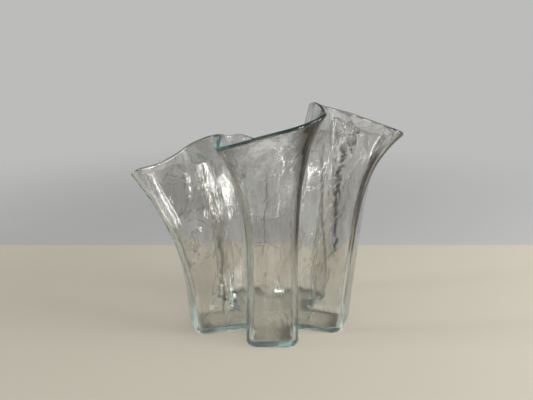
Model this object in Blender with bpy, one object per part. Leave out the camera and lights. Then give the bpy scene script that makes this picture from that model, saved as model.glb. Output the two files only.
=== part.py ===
"""Handkerchief vase of clear glass, blown in one piece.

The foot has five lobes with parallel sides and flat ends, as its mould made it. Above the foot the
fifteen folds, two corners and one groove to each lobe, run up and outwards to a free-hand rim of
uneven height. Sizes are in metres, angles in degrees from the front (-Y), positive towards +X. The
origin is the middle of the flat underside.
"""

from collections import namedtuple

import bmesh
import bpy
import numpy as np

# Foot
LOBE_SPACING = 72.0
LOBE_HALF_WIDTH = 0.026
FRONT_REACH = 0.0765
RIGHT_REACH = 0.081
BACK_RIGHT_REACH = 0.078
BACK_LEFT_REACH = 0.078
LEFT_REACH = 0.0885
FOOT_CORNER_RADIUS = 0.012
FOOT_GROOVE_RADIUS = 0.005
HEEL_RADIUS = 0.005

# Glass
FOOT_WALL = 0.0048
RIM_WALL = 0.0032
FLOOR = 0.0045
FLOOR_EDGE_RADIUS = 0.004

# Each fold ends at a rim point, given by its angle, its reach from the axis and its height. Its lean
# is how far it moves outwards at a steady rate, its flare the power by which the rest comes in, its
# radius the rounding at the rim, and its bow the rise of the rim halfway to the next fold.
Fold = namedtuple("Fold", "angle reach height lean flare radius bow")
FRONT_LEFT_CORNER = Fold(-19.0, 0.151, 0.210, -0.012, 3.5, 0.014, 0)
FRONT_RIGHT_CORNER = Fold(22.3, 0.1395, 0.235, -0.001, 4.2, 0.033, 0.004)
FRONT_RIGHT_GROOVE = Fold(39.0, 0.053, 0.2365, -0.011, 3.6, 0.008, 0.001)
RIGHT_FRONT_CORNER = Fold(57.5, 0.1475, 0.2125, 0.020, 6.5, 0.015, 0)
RIGHT_BACK_CORNER = Fold(89.0, 0.112, 0.197, 0.018, 5.5, 0.015, -0.002)
RIGHT_BACK_GROOVE = Fold(108.0, 0.066, 0.212, 0.006, 3.0, 0.012, 0)
BACK_RIGHT_OUTER_CORNER = Fold(130.0, 0.134, 0.186, 0.014, 4.0, 0.014, 0.002)
BACK_RIGHT_INNER_CORNER = Fold(162.0, 0.134, 0.177, 0.012, 4.0, 0.014, 0)
BACK_GROOVE = Fold(180.0, 0.064, 0.175, 0.004, 3.0, 0.012, 0)
BACK_LEFT_INNER_CORNER = Fold(-163.0, 0.134, 0.177, 0.012, 4.0, 0.014, 0.006)
BACK_LEFT_OUTER_CORNER = Fold(-128.0, 0.124, 0.164, 0.012, 4.0, 0.014, 0.002)
LEFT_BACK_GROOVE = Fold(-108.0, 0.066, 0.168, 0.004, 3.0, 0.012, 0)
LEFT_BACK_CORNER = Fold(-90.0, 0.134, 0.157, 0.010, 2.6, 0.016, 0)
LEFT_FRONT_CORNER = Fold(-56.0, 0.154, 0.178, 0.012, 2.2, 0.0085, -0.003)
FRONT_LEFT_GROOVE = Fold(-41.5, 0.059, 0.213, -0.009, 4.8, 0.026, 0.005)

FOLDS = [
    FRONT_LEFT_CORNER, FRONT_RIGHT_CORNER, FRONT_RIGHT_GROOVE,
    RIGHT_FRONT_CORNER, RIGHT_BACK_CORNER, RIGHT_BACK_GROOVE,
    BACK_RIGHT_OUTER_CORNER, BACK_RIGHT_INNER_CORNER, BACK_GROOVE,
    BACK_LEFT_INNER_CORNER, BACK_LEFT_OUTER_CORNER, LEFT_BACK_GROOVE,
    LEFT_BACK_CORNER, LEFT_FRONT_CORNER, FRONT_LEFT_GROOVE,
]
LOBE_REACHES = [FRONT_REACH, RIGHT_REACH, BACK_RIGHT_REACH, BACK_LEFT_REACH, LEFT_REACH]
FOLDS_TO_A_LOBE = 3

# Fineness of the mesh
ARC_POINTS = 5
RUN_POINTS = 3
WALL_ROWS = 15
HEEL_ROWS = 3
RIM_ROWS = 4
ROW_CROWDING = 0.8

MOST_OF_A_SIDE = 0.47
LEVEL_START = 0.12


def outwards(degrees):
    """Unit vectors in plan for angles measured from the front towards +X."""
    angle = np.radians(degrees)
    return np.stack([np.sin(angle), -np.cos(angle)], -1)


def foot_folds():
    """Plan points of the folds at the foot, where the sides of five straight lobes meet."""
    points = []
    for number, reach in enumerate(LOBE_REACHES):
        direction = number * LOBE_SPACING
        out, side = outwards(direction), outwards(direction + 90)
        points.append(reach * out - LOBE_HALF_WIDTH * side)
        points.append(reach * out + LOBE_HALF_WIDTH * side)
        half_step = LOBE_SPACING / 2
        points.append(LOBE_HALF_WIDTH / np.sin(np.radians(half_step)) * outwards(direction + half_step))
    return np.array(points)


def fold_points(shares, start):
    """Sharp fold points and their rounding, by row and fold, from the height start up to the rim."""
    angle, reach, height, lean, flare, radius, _ = np.array(FOLDS).T
    foot = foot_folds()
    way = reach[:, None] * outwards(angle) - foot
    steady = lean / np.linalg.norm(way, axis=-1)
    z = start + shares[:, None] * (height - start)
    climb = (z - HEEL_RADIUS) / (height - HEEL_RADIUS)
    moved = steady * climb + (1 - steady) * climb**flare
    plan = foot + moved[..., None] * way
    groove = np.arange(len(FOLDS)) % FOLDS_TO_A_LOBE == FOLDS_TO_A_LOBE - 1
    foot_radius = np.where(groove, FOOT_GROOVE_RADIUS, FOOT_CORNER_RADIUS)
    rounding = foot_radius + (radius - foot_radius) * climb
    return np.concatenate([plan, z[..., None]], -1), rounding, climb


def rounded_rings(points, rounding, climb):
    """Closed outlines through the folds: a circular arc at each fold and a straight wall between two."""
    back = np.roll(points, 1, 1) - points
    ahead = np.roll(points, -1, 1) - points
    back_length = np.linalg.norm(back[..., :2], axis=-1)
    ahead_length = np.linalg.norm(ahead[..., :2], axis=-1)
    back = back / back_length[..., None]
    ahead = ahead / ahead_length[..., None]
    half = np.arccos((back[..., :2] * ahead[..., :2]).sum(-1)) / 2
    cut = np.minimum(rounding / np.tan(half), MOST_OF_A_SIDE * np.minimum(back_length, ahead_length))
    radius = (cut * np.tan(half))[..., None, None]
    middle = back[..., :2] + ahead[..., :2]
    middle = (middle / np.linalg.norm(middle, axis=-1, keepdims=True))[..., None, :]
    across = ahead[..., :2] - back[..., :2]
    across = (across / np.linalg.norm(across, axis=-1, keepdims=True))[..., None, :]
    centre = points[..., None, :2] + middle * radius / np.sin(half)[..., None, None]
    step = (np.arange(ARC_POINTS) + 0.5) / ARC_POINTS
    turn = ((step - 0.5) * (np.pi - 2 * half)[..., None])[..., None]
    plan = centre - middle * radius * np.cos(turn) + across * radius * np.sin(turn)
    before = (points[..., 2] + back[..., 2] * cut)[..., None]
    after = (points[..., 2] + ahead[..., 2] * cut)[..., None]
    z = (1 - step) ** 2 * before + 2 * step * (1 - step) * points[..., 2:] + step**2 * after
    arcs = np.concatenate([plan, z[..., None]], -1)

    share = (np.arange(1, RUN_POINTS + 1) / (RUN_POINTS + 1))[:, None]
    runs = arcs[..., -1:, :] * (1 - share) + np.roll(arcs, -1, 1)[..., :1, :] * share
    bow = np.array([fold.bow for fold in FOLDS]) * climb**2
    runs[..., 2] += bow[..., None] * 4 * (share * (1 - share))[:, 0]
    return np.concatenate([arcs, runs], -2).reshape(len(points), -1, 3)


def shell(shares, start):
    """Rings of the outer surface with their outward normals and their directions up the wall."""
    points, rounding, climb = fold_points(shares, start)
    rings = rounded_rings(points, rounding, climb)
    around = np.roll(rings, -1, 1) - np.roll(rings, 1, 1)
    up = np.gradient(rings, axis=0)
    normals = np.cross(around, up)
    normals /= np.linalg.norm(normals, axis=-1, keepdims=True)
    up /= np.linalg.norm(up, axis=-1, keepdims=True)
    return rings, normals, up


def plan_normals(ring):
    """Outward unit normals of a level ring."""
    around = np.roll(ring, -1, 0) - np.roll(ring, 1, 0)
    normals = np.stack([around[:, 1], -around[:, 0], 0 * around[:, 0]], -1)
    return normals / np.linalg.norm(normals, axis=-1, keepdims=True)


def quarter_round(ring, radius, rows):
    """Rings that turn inwards and down from a level ring, on a quarter circle."""
    angles = np.linspace(0, np.pi / 2, rows + 1)[1:, None, None]
    inwards = -plan_normals(ring) * radius
    down = np.array([0, 0, -radius])
    return ring + inwards * (1 - np.cos(angles)) + down * np.sin(angles)


def glass_rings():
    """Every ring of the body in one run: underside, heel, outer wall, rim, inner wall and floor."""
    shares = np.linspace(0, 1, WALL_ROWS + 1) ** ROW_CROWDING
    outer, normals, up = shell(shares, HEEL_RADIUS)
    heel = quarter_round(outer[0], HEEL_RADIUS, HEEL_ROWS)[::-1]

    floor_top = FLOOR + FLOOR_EDGE_RADIUS
    lining, lining_normals, _ = shell(shares, floor_top)
    lining_normals[..., 2] *= np.clip(shares / LEVEL_START, 0, 1)[:, None]
    wall = (FOOT_WALL + (RIM_WALL - FOOT_WALL) * shares)[:, None, None]
    inner = lining - wall * lining_normals
    floor_edge = quarter_round(inner[0], FLOOR_EDGE_RADIUS, HEEL_ROWS)

    middle = (outer[-1] + inner[-1]) / 2
    angles = np.linspace(0, np.pi, RIM_ROWS + 1)[1:-1, None, None]
    rim = middle + RIM_WALL / 2 * (np.cos(angles) * normals[-1] + np.sin(angles) * up[-1])
    return np.concatenate([heel, outer, rim, inner[::-1], floor_edge])


def glass_material():
    material = bpy.data.materials.new("clear_glass")
    material.use_nodes = True
    shader = material.node_tree.nodes["Principled BSDF"]
    shader.inputs["Base Color"].default_value = (0.86, 0.9, 0.88, 1)
    shader.inputs["Roughness"].default_value = 0.03
    shader.inputs["Metallic"].default_value = 0
    shader.inputs["Transmission Weight"].default_value = 1
    shader.inputs["IOR"].default_value = 1.5
    return material


def glass_body():
    """The vase: rings of quads, closed by the flat underside and by the flat floor inside."""
    rings = glass_rings()
    bm = bmesh.new()
    rows = [[bm.verts.new(point) for point in ring] for ring in rings]
    count = len(rows[0])
    for low, high in zip(rows, rows[1:]):
        for here in range(count):
            after = (here + 1) % count
            face = bm.faces.new((low[here], low[after], high[after], high[here]))
            face.smooth = True
    bm.faces.new(rows[0][::-1])
    bm.faces.new(rows[-1])
    mesh = bpy.data.meshes.new("glass_body")
    bm.to_mesh(mesh)
    bm.free()
    mesh.materials.append(glass_material())
    body = bpy.data.objects.new("glass_body", mesh)
    bpy.context.collection.objects.link(body)
    return body


def main():
    for obj in list(bpy.data.objects):
        bpy.data.objects.remove(obj)
    glass_body()


main()
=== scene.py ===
"""Looks of a clear, blown-glass handkerchief vase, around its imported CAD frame.

Run it with blender --background --python scene.py, or from Blender's text editor. It makes the glass as
one rippled, closed surface, the stage round it and the camera. Lengths are in metres, +Z is up and the front
lobe points to -Y. Angles in plan are in degrees from the front, positive towards +X.
"""

import math
from collections import namedtuple

import bpy
import numpy as np
from bpy.props import FloatProperty, FloatVectorProperty, IntProperty, PointerProperty
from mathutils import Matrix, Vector


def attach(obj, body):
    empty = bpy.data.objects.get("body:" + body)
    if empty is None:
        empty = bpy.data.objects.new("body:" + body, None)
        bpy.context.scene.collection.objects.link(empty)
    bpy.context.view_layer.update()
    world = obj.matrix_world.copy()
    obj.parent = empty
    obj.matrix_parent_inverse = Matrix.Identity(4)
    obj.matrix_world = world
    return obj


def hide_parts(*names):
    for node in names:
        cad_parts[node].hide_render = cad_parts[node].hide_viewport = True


bl_info = {
    "name": "Handkerchief Vase",
    "version": (1, 0, 0),
    "blender": (4, 5, 0),
    "location": "View3D > Sidebar > Vase",
    "description": "Builds a rippled glass handkerchief vase, its stage and its camera",
    "category": "Object",
}

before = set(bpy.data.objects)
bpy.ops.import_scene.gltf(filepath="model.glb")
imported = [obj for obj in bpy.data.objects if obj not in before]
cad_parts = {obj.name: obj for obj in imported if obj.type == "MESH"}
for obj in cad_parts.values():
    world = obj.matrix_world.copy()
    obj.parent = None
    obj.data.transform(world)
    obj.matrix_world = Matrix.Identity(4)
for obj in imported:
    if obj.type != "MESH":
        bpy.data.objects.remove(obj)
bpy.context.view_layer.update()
GLASS_NODE = "glass_body"
BODY = "root"

# Foot, as its mould made it: five lobes with parallel sides, each with its own reach from the axis
LOBE_SPACING = 72.0
LOBE_REACHES = (0.0765, 0.081, 0.078, 0.078, 0.0885)
FOLDS_TO_A_LOBE = 3

# Each fold ends at a rim point, given by its angle, its reach from the axis and its height. Its lean
# is how far it moves outwards at a steady rate, its flare the power by which the rest comes in, its
# radius the rounding at the rim, and its bow the rise of the rim halfway to the next fold.
Fold = namedtuple("Fold", "angle reach height lean flare radius bow")
FOLDS = (
    # Front lobe: left corner, right corner, groove to the right lobe
    Fold(-19.0, 0.151, 0.210, -0.012, 3.5, 0.014, 0),
    Fold(22.3, 0.1395, 0.235, -0.001, 4.2, 0.033, 0.004),
    Fold(39.0, 0.053, 0.2365, -0.011, 3.6, 0.008, 0.001),
    # Right lobe: front corner, back corner, groove to the back right lobe
    Fold(57.5, 0.1475, 0.2125, 0.020, 6.5, 0.015, 0),
    Fold(89.0, 0.112, 0.197, 0.018, 5.5, 0.015, -0.002),
    Fold(108.0, 0.066, 0.212, 0.006, 3.0, 0.012, 0),
    # Back right lobe: outer corner, inner corner, groove to the back left lobe
    Fold(130.0, 0.134, 0.186, 0.014, 4.0, 0.014, 0.002),
    Fold(162.0, 0.134, 0.177, 0.012, 4.0, 0.014, 0),
    Fold(180.0, 0.064, 0.175, 0.004, 3.0, 0.012, 0),
    # Back left lobe: inner corner, outer corner, groove to the left lobe
    Fold(-163.0, 0.134, 0.177, 0.012, 4.0, 0.014, 0.006),
    Fold(-128.0, 0.124, 0.164, 0.012, 4.0, 0.014, 0.002),
    Fold(-108.0, 0.066, 0.168, 0.004, 3.0, 0.012, 0),
    # Left lobe: back corner, front corner, groove to the front lobe
    Fold(-90.0, 0.134, 0.157, 0.010, 2.6, 0.016, 0),
    Fold(-56.0, 0.154, 0.178, 0.012, 2.2, 0.0085, -0.003),
    Fold(-41.5, 0.059, 0.213, -0.009, 4.8, 0.026, 0.005),
)

# Painted shade along each fold, from clear 0 to dark 1, standing in for the dark streaks that bent glass
# shows there, and the share of a wall over which that fades
FOLD_SHADES = (0.2, 1, 0.3, 1, 1, 0.5, 1, 0.5, 0.3, 0.3, 0.3, 0.3, 0.2, 0.2, 0.4)
FOLD_SHADE_REACH = 0.15

# Dark lines of painted shade on the glass's outer surface, standing in for the dark streaks that it shows.
# Each lies beyond a fold's first point and runs between two heights. Its places at the top and the bottom,
# its half width and its waver are counted in mesh points.
Line = namedtuple("Line", "fold top_place bottom_place half_width waver top bottom strength")
SHADE_LINES = (
    # Along the front lobe's right corner, along the right lobe's front corner, then two down its front wall
    Line(1, 11.5, 11.8, 3.2, 0.5, 0.232, 0.085, 0.98),
    Line(3, 5.6, 11.6, 2.2, 0.4, 0.210, 0.078, 1.0),
    Line(2, 27.5, 35.5, 1.1, 1.8, 0.215, 0.085, 1.0),
    Line(2, 17.0, 31.0, 0.8, 0.5, 0.205, 0.060, 0.9),
    # Down the left lobe's front wall and down the front lobe's end wall
    Line(13, 31.5, 25.0, 0.9, 1.3, 0.100, 0.015, 0.85),
    Line(0, 26.5, 16.5, 0.8, 1.8, 0.185, 0.090, 0.75),
)
# Share of its height over which a line fades at either end
SHADE_LINE_FADE = 0.12

# Fineness of the glass surface, in points to a fold's arc, to the wall up to the next fold, and in rows
ARC_POINTS = 13
RUN_POINTS = 24
WALL_ROWS = 70
HEEL_ROWS = 5
RIM_ROWS = 9
# Below 1, the rows crowd towards the rim
ROW_CROWDING = 0.8
# The largest share of a wall that the arc at either end may take
MOST_OF_A_SIDE = 0.47
# Share of the height over which the inner wall's normals turn from level to their own slope
LEVEL_START = 0.12

# The waves in the glass: how many make up one, how far they are drawn out upwards, and the spread of their
# lengths. They fade in over one part in FADE_RATE of the wall's height.
WAVES = 40
WAVE_STRETCH = 2.0
WAVE_SPREAD = (0.55, 1.7)
FADE_RATE = 6

# What is added to the seed for the outer wall, the inner wall and the first line of painted shade. Each wall
# uses two.
OUTER_SEED, INNER_SEED, SHADE_LINE_SEED = 0, 2, 10

# Noises of the glass's material. The stretch is the share at which a noise sees heights.
Noise = namedtuple("Noise", "stretch scale detail roughness distortion")
DIMPLES = Noise(0.45, 70, 2, 0.45, 0)
DRAWN_DIMPLES = Noise(0.16, 190, 2, 0.5, 0)
BROAD_STREAKS = Noise(0.45, 24, 3, 0.5, 1.2)
FINE_STREAKS = Noise(0.16, 75, 4, 0.6, 0.6)
RIDGES = Noise(1, 34, 2, 0.5, 0.8)
DRAWN_SHARE = 0.4
BUMP_STRENGTH = 0.42
BUMP_DISTANCE = 0.0012

# Smooth steps, each from a low to a high value, and what they give at the start and the end
Step = namedtuple("Step", "low high start end", defaults=(0, 1))
BROAD_STEP = Step(0.485, 0.51, 0, 0.45)
DENSE_STEP = Step(0.56, 0.58, 0, 0.2)
FINE_STEP = Step(0.50, 0.53, 0, 0.35)
HEIGHT_STEP = Step(0.0, 0.23, 0.5, 1.45)
OUTLINE_LEVEL = 0.497
OUTLINE_STEP = Step(0, 0.010, 0.7, 0)
RIDGE_LEVEL = 0.5
RIDGE_STEP = Step(0, 0.06, 1, 0)
# The next three steps place painted shade: at the folds, by height and by view, and on walls seen along their
# face
FOLD_SHADE_HEIGHT_STEP = Step(0.070, 0.130, 0.2, 1)
FOLD_SHADE_STEP = Step(0.38, 0.62)
GRAZING_STEP = Step(0.62, 0.95, 0, 0.75)
ABOVE_FLOOR_STEP = Step(0.001, 0.006)
FAR_STEP = Step(0.3, 1.0)
OVERHEAD_STEP = Step(0.2, 0.45)

# The floor's half width and depth under the foot, the softness of the table's edge, and the table's gloss
FLOOR_REACH = 6.0
FLOOR_DEPTH = 0.0002
EDGE_SOFTNESS = 0.004
FLOOR_ROUGHNESS = 0.8
FLOOR_SPECULAR = 0.1

# The window lamps: place, height of the point they face, width and height, and share of the windows' power
Lamp = namedtuple("Lamp", "name place aim size share")
WINDOWS = (
    Lamp("right_window", (1.87, -0.47, 0.66), 0.12, (0.9, 0.9), 4),
    Lamp("left_window", (-1.9, -0.20, 0.80), 0.14, (0.2, 0.9), 1.4),
    Lamp("low_right_window", (1.90, 0.33, 0.40), 0.12, (0.35, 0.4), 0.7),
    Lamp("front_right_window", (1.20, -1.84, 0.34), 0.12, (0.5, 0.6), 1.7),
    Lamp("front_left_window", (-1.38, -1.97, 0.30), 0.12, (0.2, 0.5), 0.4),
)
OVERHEAD = Lamp("overhead_lamp", (-0.3, 0.5, 1.2), 0.1, (0.5, 0.5), 1)

# Light is followed this many times through the glass, so that it gets along the rim and the foot's edge
BOUNCES = 80

# The photograph's width and the column of the vase's axis in pixels, and the camera that took it. Its
# sensor is in millimetres and its focal length in pixels.
FRAME_WIDTH = 533
AXIS_PIXEL = 272.5
CAMERA_DISTANCE = 0.65
CAMERA_HEIGHT = 0.317
CAMERA_PITCH = 16.0
CLIP_START = 0.01
SENSOR = 36.0
FOCAL_PIXELS = 650


class GlassSettings(bpy.types.PropertyGroup):
    """Sizes and tint of the glass."""

    lobe_half_width: FloatProperty(
        name="Lobe half width", description="Half the width of a foot lobe", default=0.026, unit="LENGTH"
    )
    foot_corner: FloatProperty(
        name="Foot corner", description="Rounding of a lobe's corners at the foot",
        default=0.012, unit="LENGTH",
    )
    foot_groove: FloatProperty(
        name="Foot groove", description="Rounding of the grooves at the foot", default=0.005, unit="LENGTH"
    )
    heel: FloatProperty(
        name="Heel", description="Rounding between the underside and the walls", default=0.005, unit="LENGTH"
    )
    foot_wall: FloatProperty(
        name="Wall at the foot", description="Thickness of the wall at the foot",
        default=0.0048, unit="LENGTH",
    )
    rim_wall: FloatProperty(
        name="Wall at the rim", description="Thickness of the wall at the rim", default=0.0032, unit="LENGTH"
    )
    floor: FloatProperty(
        name="Floor", description="Thickness of the glass floor", default=0.0045, unit="LENGTH"
    )
    floor_edge: FloatProperty(
        name="Floor edge", description="Rounding where the floor meets the walls",
        default=0.004, unit="LENGTH",
    )
    swell: FloatProperty(
        name="Swell", description="Height of the broad waves in the walls", default=0.0005, unit="LENGTH"
    )
    swell_length: FloatProperty(
        name="Swell length", description="Distance between the broad waves", default=0.030, unit="LENGTH"
    )
    ripple: FloatProperty(
        name="Ripple", description="Height of the close ripples in the walls", default=0.0001, unit="LENGTH"
    )
    ripple_length: FloatProperty(
        name="Ripple length", description="Distance between the close ripples", default=0.0095, unit="LENGTH"
    )
    calm: FloatProperty(
        name="Waves at a fold", description="Share of the waves that is left at the folds", default=0.3
    )
    tint: FloatVectorProperty(
        name="Tint", description="Colour that one wall lets through", default=(0.985, 0.975, 0.955),
        subtype="COLOR", min=0, max=1,
    )
    streak_tint: FloatVectorProperty(
        name="Streak tint", description="Colour that one wall lets through in its denser streaks",
        default=(0.72, 0.71, 0.69), subtype="COLOR", min=0, max=1,
    )
    line_tint: FloatVectorProperty(
        name="Line tint", description="Colour that one wall lets through along a streak's outline",
        default=(0.30, 0.30, 0.30), subtype="COLOR", min=0, max=1,
    )
    # Painted shade: near-black colour for a wall seen along its face, far darker than its longer way through
    # the glass would make it
    painted_edge_shade: FloatVectorProperty(
        name="Edge tint", description="Colour that a wall lets through where it is seen along its face",
        default=(0.003, 0.002, 0.0015), subtype="COLOR", min=0, max=1,
    )
    shade_tint: FloatVectorProperty(
        name="Shade tint", description="Colour of the light that one face lets through in its duller places",
        default=(0.93, 0.925, 0.915), subtype="COLOR", min=0, max=1,
    )
    floor_tint: FloatVectorProperty(
        name="Floor tint", description="Colour that the clear glass of the floor lets through",
        default=(0.97, 0.955, 0.93), subtype="COLOR", min=0, max=1,
    )
    depth_tint: FloatVectorProperty(
        name="Depth tint", description="Colour that long ways through the glass take on",
        default=(0.19, 0.45, 0.475), subtype="COLOR", min=0, max=1,
    )
    depth: FloatProperty(
        name="Depth strength", description="How fast the depth tint builds up, per metre", default=8.0
    )
    seed: IntProperty(name="Seed", description="Start of the ripples' random draw", default=7)


class StageSettings(bpy.types.PropertyGroup):
    """Colours and lamps of the stage."""

    table: FloatVectorProperty(
        name="Table", description="Pale colour of the table that the vase stands on",
        default=(0.62, 0.575, 0.48), subtype="COLOR", min=0, max=1,
    )
    backdrop: FloatVectorProperty(
        name="Backdrop", description="Pale colour of all that lies behind the table",
        default=(0.50, 0.50, 0.495), subtype="COLOR", min=0, max=1,
    )
    ceiling: FloatVectorProperty(
        name="Ceiling", description="Colour of the room overhead, as the glass mirrors it",
        default=(0.16, 0.16, 0.16), subtype="COLOR", min=0, max=1,
    )
    table_edge: FloatProperty(
        name="Table edge", description="How far behind the vase the table ends", default=0.223, unit="LENGTH"
    )
    window_power: FloatProperty(
        name="Windows", description="Power of a window lamp whose share is 1", default=14.0, unit="POWER"
    )
    overhead_power: FloatProperty(
        name="Overhead", description="Power of the lamp overhead", default=1.0, unit="POWER"
    )
    even_light: FloatProperty(
        name="Even light", description="Strength of the light from all round", default=0.11
    )


def outwards(degrees):
    """Unit vectors in plan for angles measured from the front towards +X."""
    angle = np.radians(degrees)
    return np.stack([np.sin(angle), -np.cos(angle)], -1)


def foot_folds(glass):
    """Plan points of the folds at the foot, where the sides of five straight lobes meet."""
    points = []
    half_step = LOBE_SPACING / 2
    for number, reach in enumerate(LOBE_REACHES):
        direction = number * LOBE_SPACING
        out, side = outwards(direction), outwards(direction + 90)
        points.append(reach * out - glass.lobe_half_width * side)
        points.append(reach * out + glass.lobe_half_width * side)
        groove = glass.lobe_half_width / math.sin(math.radians(half_step))
        points.append(groove * outwards(direction + half_step))
    return np.array(points)


def fold_points(glass, shares, start):
    """Sharp fold points and their rounding, by row and fold.

    A fold climbs evenly from the height start to its rim point. In plan it moves along the straight way
    from its foot point to its rim point: steadily by its lean, and by a power of the climb for the rest.
    """
    angle, reach, height, lean, flare, radius, _ = np.array(FOLDS).T
    foot = foot_folds(glass)
    way = reach[:, None] * outwards(angle) - foot
    steady = lean / np.linalg.norm(way, axis=-1)
    z = start + shares[:, None] * (height - start)
    climb = (z - glass.heel) / (height - glass.heel)
    moved = steady * climb + (1 - steady) * climb**flare
    plan = foot + moved[..., None] * way
    groove = np.arange(len(FOLDS)) % FOLDS_TO_A_LOBE == FOLDS_TO_A_LOBE - 1
    foot_radius = np.where(groove, glass.foot_groove, glass.foot_corner)
    rounding = foot_radius + (radius - foot_radius) * climb
    return np.concatenate([plan, z[..., None]], -1), rounding, climb


def rounded_rings(points, rounding, climb):
    """Closed outlines through the folds: a circular arc at each fold and a straight wall between two.

    An arc's centre lies on the line that halves the fold's angle, at the radius over the sine of half
    that angle. Its height runs on a quadratic curve from one wall's line to the next.
    """
    back = np.roll(points, 1, 1) - points
    ahead = np.roll(points, -1, 1) - points
    back_length = np.linalg.norm(back[..., :2], axis=-1)
    ahead_length = np.linalg.norm(ahead[..., :2], axis=-1)
    back = back / back_length[..., None]
    ahead = ahead / ahead_length[..., None]
    half = np.arccos((back[..., :2] * ahead[..., :2]).sum(-1)) / 2
    cut = np.minimum(rounding / np.tan(half), MOST_OF_A_SIDE * np.minimum(back_length, ahead_length))
    radius = (cut * np.tan(half))[..., None, None]
    middle = back[..., :2] + ahead[..., :2]
    middle = (middle / np.linalg.norm(middle, axis=-1, keepdims=True))[..., None, :]
    across = ahead[..., :2] - back[..., :2]
    across = (across / np.linalg.norm(across, axis=-1, keepdims=True))[..., None, :]
    centre = points[..., None, :2] + middle * radius / np.sin(half)[..., None, None]
    step = (np.arange(ARC_POINTS) + 0.5) / ARC_POINTS
    turn = ((step - 0.5) * (np.pi - 2 * half)[..., None])[..., None]
    plan = centre - middle * radius * np.cos(turn) + across * radius * np.sin(turn)
    before = (points[..., 2] + back[..., 2] * cut)[..., None]
    after = (points[..., 2] + ahead[..., 2] * cut)[..., None]
    z = (1 - step) ** 2 * before + 2 * step * (1 - step) * points[..., 2:] + step**2 * after
    arcs = np.concatenate([plan, z[..., None]], -1)

    share = (np.arange(1, RUN_POINTS + 1) / (RUN_POINTS + 1))[:, None]
    runs = arcs[..., -1:, :] * (1 - share) + np.roll(arcs, -1, 1)[..., :1, :] * share
    bow = np.array([fold.bow for fold in FOLDS]) * climb**2
    runs[..., 2] += bow[..., None] * 4 * (share * (1 - share))[:, 0]
    return np.concatenate([arcs, runs], -2).reshape(len(points), -1, 3)


def shell(glass, shares, start):
    """Rings of the plain outer surface with their outward normals and their directions up the wall."""
    points, rounding, climb = fold_points(glass, shares, start)
    rings = rounded_rings(points, rounding, climb)
    around = np.roll(rings, -1, 1) - np.roll(rings, 1, 1)
    up = np.gradient(rings, axis=0)
    normals = np.cross(around, up)
    normals /= np.linalg.norm(normals, axis=-1, keepdims=True)
    up /= np.linalg.norm(up, axis=-1, keepdims=True)
    return rings, normals, up


def plan_normals(ring):
    """Outward unit normals of a level ring."""
    around = np.roll(ring, -1, 0) - np.roll(ring, 1, 0)
    normals = np.stack([around[:, 1], -around[:, 0], 0 * around[:, 0]], -1)
    return normals / np.linalg.norm(normals, axis=-1, keepdims=True)


def quarter_round(ring, radius, rows):
    """Rings that turn inwards and down from a level ring, on a quarter circle."""
    angles = np.linspace(0, np.pi / 2, rows + 1)[1:, None, None]
    inwards = -plan_normals(ring) * radius
    down = np.array([0, 0, -radius])
    return ring + inwards * (1 - np.cos(angles)) + down * np.sin(angles)


def ripples(points, length, seed):
    """A smooth random height, about -1 to 1, at each point: the mean of many plane waves.

    Their directions and phases are drawn at random, their lengths spread round the given one, and each
    wave is stretched upwards, as glass is when it is drawn.
    """
    draw = np.random.default_rng(seed)
    direction = draw.normal(size=(WAVES, 3)) * (1, 1, 1 / WAVE_STRETCH)
    direction /= np.linalg.norm(direction, axis=-1, keepdims=True)
    number = 2 * np.pi / (length * draw.uniform(*WAVE_SPREAD, WAVES))
    phase = draw.uniform(0, 2 * np.pi, WAVES)
    height = np.cos(points @ (direction * number[:, None]).T + phase).sum(-1)
    return height / math.sqrt(WAVES / 2) / 2


def blown(glass, points, seed):
    """How far the blown wall stands off its plain shape: broad waves and close ripples.

    The folds stay calm. From a fold to the next the waves swell and sink on a parabola.
    """
    share = np.concatenate([np.zeros(ARC_POINTS), np.arange(1, RUN_POINTS + 1) / (RUN_POINTS + 1)])
    wall = np.tile(4 * share * (1 - share), len(FOLDS))
    broad = glass.swell * ripples(points, glass.swell_length, seed)
    close = glass.ripple * ripples(points, glass.ripple_length, seed + 1)
    return (broad + close) * (glass.calm + (1 - glass.calm) * wall)


def glass_rings(glass):
    """Every ring of the body in one run: underside, heel, outer wall, rim, inner wall and floor.

    The inner wall is the outer one moved in along its normals by the wall, with ripples of its own. They
    fade in above the moulded foot, so that the foot stays true and the rim keeps its thickness.
    """
    shares = np.linspace(0, 1, WALL_ROWS + 1) ** ROW_CROWDING
    rise = np.clip(shares * FADE_RATE, 0, 1)[:, None]
    fade = rise * rise * (3 - 2 * rise)
    outer, normals, up = shell(glass, shares, glass.heel)
    outer = outer + (fade * blown(glass, outer, glass.seed + OUTER_SEED))[..., None] * normals
    heel = quarter_round(outer[0], glass.heel, HEEL_ROWS)[::-1]

    lining, lining_normals, _ = shell(glass, shares, glass.floor + glass.floor_edge)
    lining_normals[..., 2] *= np.clip(shares / LEVEL_START, 0, 1)[:, None]
    wall = (glass.foot_wall + (glass.rim_wall - glass.foot_wall) * shares)[:, None]
    depth = wall + fade * blown(glass, lining, glass.seed + INNER_SEED)
    inner = lining - depth[..., None] * lining_normals
    floor_edge = quarter_round(inner[0], glass.floor_edge, HEEL_ROWS)

    middle = (outer[-1] + inner[-1]) / 2
    half_wall = np.linalg.norm(outer[-1] - inner[-1], axis=-1)[:, None] / 2
    angles = np.linspace(0, np.pi, RIM_ROWS + 1)[1:-1, None, None]
    rim = middle + half_wall * (np.cos(angles) * normals[-1] + np.sin(angles) * up[-1])
    return np.concatenate([heel, outer, rim, inner[::-1], floor_edge])


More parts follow.
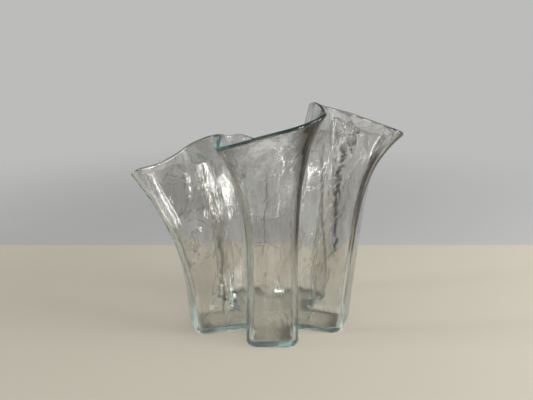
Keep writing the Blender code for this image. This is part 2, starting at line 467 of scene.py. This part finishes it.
def painted_fold_shades():
    """How much painted shade each point of a ring takes: full at a fold's arc, then fading along the walls.
    """
    share = np.arange(1, RUN_POINTS + 1) / (RUN_POINTS + 1)
    here, ahead = np.array(FOLD_SHADES)[:, None], np.roll(FOLD_SHADES, -1)[:, None]
    runs = here * np.clip(1 - share / FOLD_SHADE_REACH, 0, 1) + ahead * np.clip(1 - (1 - share) / FOLD_SHADE_REACH, 0, 1)
    return np.concatenate([np.repeat(here, ARC_POINTS, 1), runs], 1).ravel()


def painted_shade_lines(glass, rings):
    """How dark the lines of painted shade are at every point: a flat-topped bell across each line, faded at
    both ends.

    A line's place moves evenly from its bottom to its top and wavers by a random height of its own.
    """
    dark = np.zeros(rings.shape[:2])
    rows = HEEL_ROWS + WALL_ROWS + 1
    count = rings.shape[1]
    for number, shade_line in enumerate(SHADE_LINES):
        first = shade_line.fold * (ARC_POINTS + RUN_POINTS)
        climb = (rings[:rows, first, 2] - shade_line.bottom) / (shade_line.top - shade_line.bottom)
        place = shade_line.bottom_place + (shade_line.top_place - shade_line.bottom_place) * np.clip(climb, 0, 1)
        along = np.stack([0 * climb, 0 * climb, climb * (shade_line.top - shade_line.bottom)], -1)
        waver = ripples(along, glass.ripple_length / 2, glass.seed + SHADE_LINE_SEED + number)
        place = first + place + shade_line.waver * waver
        off = (np.arange(count) - place[:, None]) / shade_line.half_width
        ends = np.clip(climb / SHADE_LINE_FADE, 0, 1) * np.clip((1 - climb) / SHADE_LINE_FADE, 0, 1)
        dark[:rows] = np.maximum(dark[:rows], shade_line.strength * ends[:, None] * np.exp(-(off**4)))
    return dark


def ringed_mesh(name, rings, attributes):
    """A mesh of quads between rings, its two ends closed by flat faces; all but those shaded smooth.

    Each attribute, by its name, has one value for each point.
    """
    rows, count = rings.shape[:2]
    index = np.arange(rows * count).reshape(rows, count)
    low, high = index[:-1], index[1:]
    quads = np.stack([low, np.roll(low, -1, 1), np.roll(high, -1, 1), high], -1).reshape(-1, 4)
    loops = np.concatenate([quads.ravel(), index[0][::-1], index[-1]])
    sizes = np.concatenate([np.full(len(quads), 4), [count, count]])
    starts = np.concatenate([[0], np.cumsum(sizes)[:-1]])
    mesh = bpy.data.meshes.new(name)
    mesh.vertices.add(rows * count)
    mesh.vertices.foreach_set("co", rings.astype(np.float32).ravel())
    mesh.loops.add(len(loops))
    mesh.loops.foreach_set("vertex_index", loops.astype(np.int32))
    mesh.polygons.add(len(sizes))
    mesh.polygons.foreach_set("loop_start", starts.astype(np.int32))
    smooth = np.ones(len(sizes), bool)
    smooth[-2:] = False
    mesh.polygons.foreach_set("use_smooth", smooth)
    mesh.update(calc_edges=True)
    for label, values in attributes.items():
        made = mesh.attributes.new(label, "FLOAT", "POINT")
        made.data.foreach_set("value", values.astype(np.float32).ravel())
    if mesh.validate():
        raise ValueError(f"{name}: the rings don't make a sound mesh")
    return mesh


def linked_object(name, mesh, material):
    """A new object of that mesh at the origin, with one material."""
    mesh.materials.append(material)
    made = bpy.data.objects.new(name, mesh)
    bpy.context.scene.collection.objects.link(made)
    return made


def new_material(name):
    """(material, its node tree), with no node in the tree."""
    material = bpy.data.materials.new(name)
    material.use_nodes = True
    material.node_tree.nodes.clear()
    return material, material.node_tree


def feed(tree, socket, value):
    """Link the socket value to socket, or set socket to the plain value."""
    if isinstance(value, bpy.types.NodeSocket):
        tree.links.new(value, socket)
    else:
        socket.default_value = value


def maths(tree, operation, *values):
    """What a Math node makes of sockets or numbers."""
    made = tree.nodes.new("ShaderNodeMath")
    made.operation = operation
    for socket, value in zip(made.inputs, values):
        feed(tree, socket, value)
    return made.outputs["Value"]


def stepped(tree, value, step):
    """A smooth step of a value."""
    made = tree.nodes.new("ShaderNodeMapRange")
    made.interpolation_type = "SMOOTHSTEP"
    ends = ("From Min", "From Max", "To Min", "To Max")
    for name, end in zip(ends, step):
        made.inputs[name].default_value = end
    feed(tree, made.inputs["Value"], value)
    return made.outputs["Result"]


def blend(tree, factor, before, after):
    """A colour between two sockets or plain colours."""
    made = tree.nodes.new("ShaderNodeMix")
    made.data_type = "RGBA"
    feed(tree, made.inputs["Factor"], factor)
    for name, colour in (("A", before), ("B", after)):
        plain = not isinstance(colour, bpy.types.NodeSocket)
        feed(tree, made.inputs[name], (*colour, 1) if plain else colour)
    return made.outputs["Result"]


def noise(tree, place, kind):
    """A noise of that kind at a place."""
    stretch = tree.nodes.new("ShaderNodeMapping")
    stretch.inputs["Scale"].default_value = (1, 1, kind.stretch)
    feed(tree, stretch.inputs["Vector"], place)
    made = tree.nodes.new("ShaderNodeTexNoise")
    made.inputs["Scale"].default_value = kind.scale
    made.inputs["Detail"].default_value = kind.detail
    made.inputs["Roughness"].default_value = kind.roughness
    made.inputs["Distortion"].default_value = kind.distortion
    feed(tree, made.inputs["Vector"], stretch.outputs["Vector"])
    return made.outputs["Fac"]


def painted(tree, label):
    """The mesh attribute of that name."""
    made = tree.nodes.new("ShaderNodeAttribute")
    made.attribute_name = label
    return made.outputs["Fac"]


def split(tree, place):
    """The outputs X, Y and Z of a place."""
    made = tree.nodes.new("ShaderNodeSeparateXYZ")
    feed(tree, made.inputs["Vector"], place)
    return made.outputs


def mixed(tree, factor, before, after):
    """A shader between two."""
    made = tree.nodes.new("ShaderNodeMixShader")
    for socket, value in zip(made.inputs, (factor, before, after)):
        feed(tree, socket, value)
    return made.outputs["Shader"]


def dimpled_normal(tree, place):
    """The normal of the fine waves: soft dimples with a share of drawn-out ones."""
    drawn = maths(tree, "MULTIPLY", noise(tree, place, DRAWN_DIMPLES), DRAWN_SHARE)
    bump = tree.nodes.new("ShaderNodeBump")
    bump.inputs["Strength"].default_value = BUMP_STRENGTH
    bump.inputs["Distance"].default_value = BUMP_DISTANCE
    feed(tree, bump.inputs["Height"], maths(tree, "ADD", noise(tree, place, DIMPLES), drawn))
    return bump.outputs["Normal"]


def streaked_colour(tree, glass, place, height):
    """The walls' tint with denser streaks, stronger towards the rim, and a thin darker line round them."""
    broad = noise(tree, place, BROAD_STREAKS)
    level = maths(tree, "ADD", stepped(tree, broad, BROAD_STEP), stepped(tree, broad, DENSE_STEP))
    level = maths(tree, "ADD", level, stepped(tree, noise(tree, place, FINE_STREAKS), FINE_STEP))
    level = maths(tree, "MULTIPLY", level, stepped(tree, height, HEIGHT_STEP))
    streaks = blend(tree, level, glass.tint, glass.streak_tint)
    from_level = maths(tree, "ABSOLUTE", maths(tree, "SUBTRACT", broad, OUTLINE_LEVEL))
    return blend(tree, stepped(tree, from_level, OUTLINE_STEP), streaks, glass.line_tint)


def painted_shade(tree, normal, height):
    """Painted shade on the glass: where it is seen along its face, sooner at the folds, and on the painted
    lines.
    """
    along = tree.nodes.new("ShaderNodeLayerWeight")
    along.inputs["Blend"].default_value = 0.5
    feed(tree, along.inputs["Normal"], normal)
    facing = along.outputs["Facing"]
    # Painted shade at the folds, fainter near the foot, and the painted shade lines
    painted_fold_shade = maths(tree, "MULTIPLY", painted(tree, "painted_fold_shade"), stepped(tree, height, FOLD_SHADE_HEIGHT_STEP))
    folds = maths(tree, "MULTIPLY", stepped(tree, facing, FOLD_SHADE_STEP), painted_fold_shade)
    folds = maths(tree, "MAXIMUM", folds, painted(tree, "shade_line"))
    return maths(tree, "MAXIMUM", stepped(tree, facing, GRAZING_STEP), folds)


def glass_material(glass):
    """Clear tinted glass: a Principled glass surface with fine waves, and a volume that tints long ways.

    Shadow and diffuse rays pass it as through a tinted film, so that its shadow is soft and clean. Thin
    duller ridges run through the film.
    """
    material, tree = new_material("blown_clear_glass")
    nodes = tree.nodes
    place = nodes.new("ShaderNodeTexCoord").outputs["Object"]
    height = split(tree, place)["Z"]
    normal = dimpled_normal(tree, place)
    lined = streaked_colour(tree, glass, place, height)
    # The walls take painted shade where they are seen along their face, at the folds and on the painted lines
    walls = blend(tree, painted_shade(tree, normal, height), lined, glass.painted_edge_shade)
    above = Step(glass.floor + ABOVE_FLOOR_STEP.low, glass.floor + ABOVE_FLOOR_STEP.high)

    shader = nodes.new("ShaderNodeBsdfPrincipled")
    shader.inputs["Roughness"].default_value = 0.0
    shader.inputs["IOR"].default_value = 1.5
    shader.inputs["Transmission Weight"].default_value = 1.0
    feed(tree, shader.inputs["Normal"], normal)
    colour = blend(tree, stepped(tree, height, above), glass.floor_tint, walls)
    feed(tree, shader.inputs["Base Color"], colour)

    film = nodes.new("ShaderNodeBsdfTransparent")
    ridge = maths(tree, "ABSOLUTE", maths(tree, "SUBTRACT", noise(tree, place, RIDGES), RIDGE_LEVEL))
    shade = blend(tree, stepped(tree, ridge, RIDGE_STEP), glass.shade_tint, (1, 1, 1))
    feed(tree, film.inputs["Color"], shade)
    path = nodes.new("ShaderNodeLightPath").outputs
    soft = maths(tree, "MAXIMUM", path["Is Shadow Ray"], path["Is Diffuse Ray"])

    inside = nodes.new("ShaderNodeVolumeAbsorption")
    inside.inputs["Color"].default_value = (*glass.depth_tint, 1)
    inside.inputs["Density"].default_value = glass.depth
    output = nodes.new("ShaderNodeOutputMaterial")
    surface = mixed(tree, soft, shader.outputs["BSDF"], film.outputs["BSDF"])
    feed(tree, output.inputs["Surface"], surface)
    feed(tree, output.inputs["Volume"], inside.outputs["Volume"])
    return material


def pale_rays(tree):
    """1 for rays that show the stage to the camera, straight or through and off the glass, else 0."""
    path = tree.nodes.new("ShaderNodeLightPath").outputs
    seen = maths(tree, "MAXIMUM", path["Is Camera Ray"], path["Is Glossy Ray"])
    return maths(tree, "MAXIMUM", seen, path["Is Transmission Ray"])


def floor_material(stage):
    """Pale floor: the table's colour, a soft edge, and the backdrop's colour beyond it.

    Far off it glows in the backdrop's colour, as the air does, so that the two meet without a line.
    """
    material, tree = new_material("pale_floor")
    nodes = tree.nodes
    place = nodes.new("ShaderNodeTexCoord").outputs["Object"]
    edge = Step(stage.table_edge - EDGE_SOFTNESS, stage.table_edge + EDGE_SOFTNESS)
    colour = blend(tree, stepped(tree, split(tree, place)["Y"], edge), stage.table, stage.backdrop)
    shader = nodes.new("ShaderNodeBsdfPrincipled")
    shader.inputs["Roughness"].default_value = FLOOR_ROUGHNESS
    shader.inputs["Specular IOR Level"].default_value = FLOOR_SPECULAR
    feed(tree, shader.inputs["Base Color"], colour)

    reach = nodes.new("ShaderNodeVectorMath")
    reach.operation = "LENGTH"
    feed(tree, reach.inputs[0], place)
    far = maths(tree, "MULTIPLY", stepped(tree, reach.outputs["Value"], FAR_STEP), pale_rays(tree))
    glow = nodes.new("ShaderNodeEmission")
    feed(tree, glow.inputs["Color"], colour)
    surface = mixed(tree, far, shader.outputs["BSDF"], glow.outputs["Emission"])
    feed(tree, nodes.new("ShaderNodeOutputMaterial").inputs["Surface"], surface)
    return material


def area_lamp(lamp, power):
    """A rectangular soft lamp, turned to face its point on the vase's axis, with its share of a power."""
    data = bpy.data.lights.new(lamp.name, "AREA")
    data.shape = "RECTANGLE"
    data.size, data.size_y = lamp.size
    data.energy = lamp.share * power
    made = bpy.data.objects.new(lamp.name, data)
    bpy.context.scene.collection.objects.link(made)
    made.location = lamp.place
    way = Vector((0, 0, lamp.aim)) - Vector(lamp.place)
    made.rotation_euler = way.to_track_quat("-Z", "Y").to_euler()
    made.visible_camera = False


def air(stage):
    """A pale world that gives even light. The glass sees it too, with a darker ceiling above."""
    world = bpy.data.worlds.new("studio_air")
    bpy.context.scene.world = world
    world.use_nodes = True
    tree = world.node_tree
    nodes = tree.nodes
    nodes.clear()
    rise = split(tree, nodes.new("ShaderNodeTexCoord").outputs["Generated"])["Z"]
    room = blend(tree, stepped(tree, rise, OVERHEAD_STEP), stage.backdrop, stage.ceiling)
    glow = nodes.new("ShaderNodeBackground")
    feed(tree, glow.inputs["Color"], blend(tree, pale_rays(tree), (stage.even_light,) * 3, room))
    feed(tree, nodes.new("ShaderNodeOutputWorld").inputs["Surface"], glow.outputs["Background"])


def photo_camera():
    """The camera at the photograph's viewing angle, from its distance, height, pitch and focal length."""
    scene = bpy.context.scene
    data = bpy.data.cameras.new("photo_camera")
    data.sensor_width = SENSOR
    data.lens = SENSOR * FOCAL_PIXELS / FRAME_WIDTH
    data.shift_x = (FRAME_WIDTH / 2 - AXIS_PIXEL) / FRAME_WIDTH
    data.clip_start = CLIP_START
    made = bpy.data.objects.new("photo_camera", data)
    scene.collection.objects.link(made)
    made.location = (0, -CAMERA_DISTANCE, CAMERA_HEIGHT)
    made.rotation_euler = (math.radians(90 - CAMERA_PITCH), 0, 0)
    scene.camera = made


class VASE_OT_blown_glass(bpy.types.Operator):
    """Make the rippled glass body of the vase"""

    bl_idname = "vase.blown_glass"
    bl_label = "Blown Glass"

    def execute(self, context):
        glass = context.scene.vase_glass
        rings = glass_rings(glass)
        # The mesh carries the painted shade of the folds and of the painted lines as attributes
        attributes = {"painted_fold_shade": np.tile(painted_fold_shades(), (len(rings), 1)), "shade_line": painted_shade_lines(glass, rings)}
        mesh = ringed_mesh("blown_glass", rings, attributes)
        body = linked_object("blown_glass", mesh, glass_material(glass))
        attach(body, BODY)
        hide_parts(GLASS_NODE)
        return {"FINISHED"}


class VASE_OT_stage(bpy.types.Operator):
    """Make the floor, the air, the lamps and the camera"""

    bl_idname = "vase.stage"
    bl_label = "Stage"

    def execute(self, context):
        scene = context.scene
        stage = scene.vase_stage
        low, high, under = -FLOOR_REACH, FLOOR_REACH, -FLOOR_DEPTH
        mesh = bpy.data.meshes.new("floor")
        corners = [(low, low, under), (high, low, under), (high, high, under), (low, high, under)]
        mesh.from_pydata(corners, [], [(0, 1, 2, 3)])
        linked_object("floor", mesh, floor_material(stage))
        air(stage)
        for window in WINDOWS:
            area_lamp(window, stage.window_power)
        area_lamp(OVERHEAD, stage.overhead_power)
        photo_camera()
        scene.view_settings.view_transform = "Standard"
        scene.cycles.max_bounces = BOUNCES
        scene.cycles.transmission_bounces = BOUNCES
        scene.cycles.transparent_max_bounces = BOUNCES
        scene.cycles.glossy_bounces = BOUNCES
        scene.cycles.sample_clamp_indirect = 0
        return {"FINISHED"}


class VASE_PT_panel(bpy.types.Panel):
    """Lists the vase's settings and operators."""

    bl_idname = "VASE_PT_panel"
    bl_label = "Handkerchief Vase"
    bl_space_type = "VIEW_3D"
    bl_region_type = "UI"
    bl_category = "Vase"

    def draw(self, context):
        layout = self.layout
        for group in (context.scene.vase_glass, context.scene.vase_stage):
            for name in group.bl_rna.properties.keys():
                if name not in ("rna_type", "name"):
                    layout.prop(group, name)
        layout.operator(VASE_OT_blown_glass.bl_idname)
        layout.operator(VASE_OT_stage.bl_idname)


CLASSES = (GlassSettings, StageSettings, VASE_OT_blown_glass, VASE_OT_stage, VASE_PT_panel)


def register():
    for made in CLASSES:
        bpy.utils.register_class(made)
    bpy.types.Scene.vase_glass = PointerProperty(type=GlassSettings)
    bpy.types.Scene.vase_stage = PointerProperty(type=StageSettings)


def unregister():
    del bpy.types.Scene.vase_stage
    del bpy.types.Scene.vase_glass
    for made in reversed(CLASSES):
        bpy.utils.unregister_class(made)


def main():
    register()
    bpy.ops.vase.blown_glass()
    bpy.ops.vase.stage()


if __name__ == "__main__":
    main()
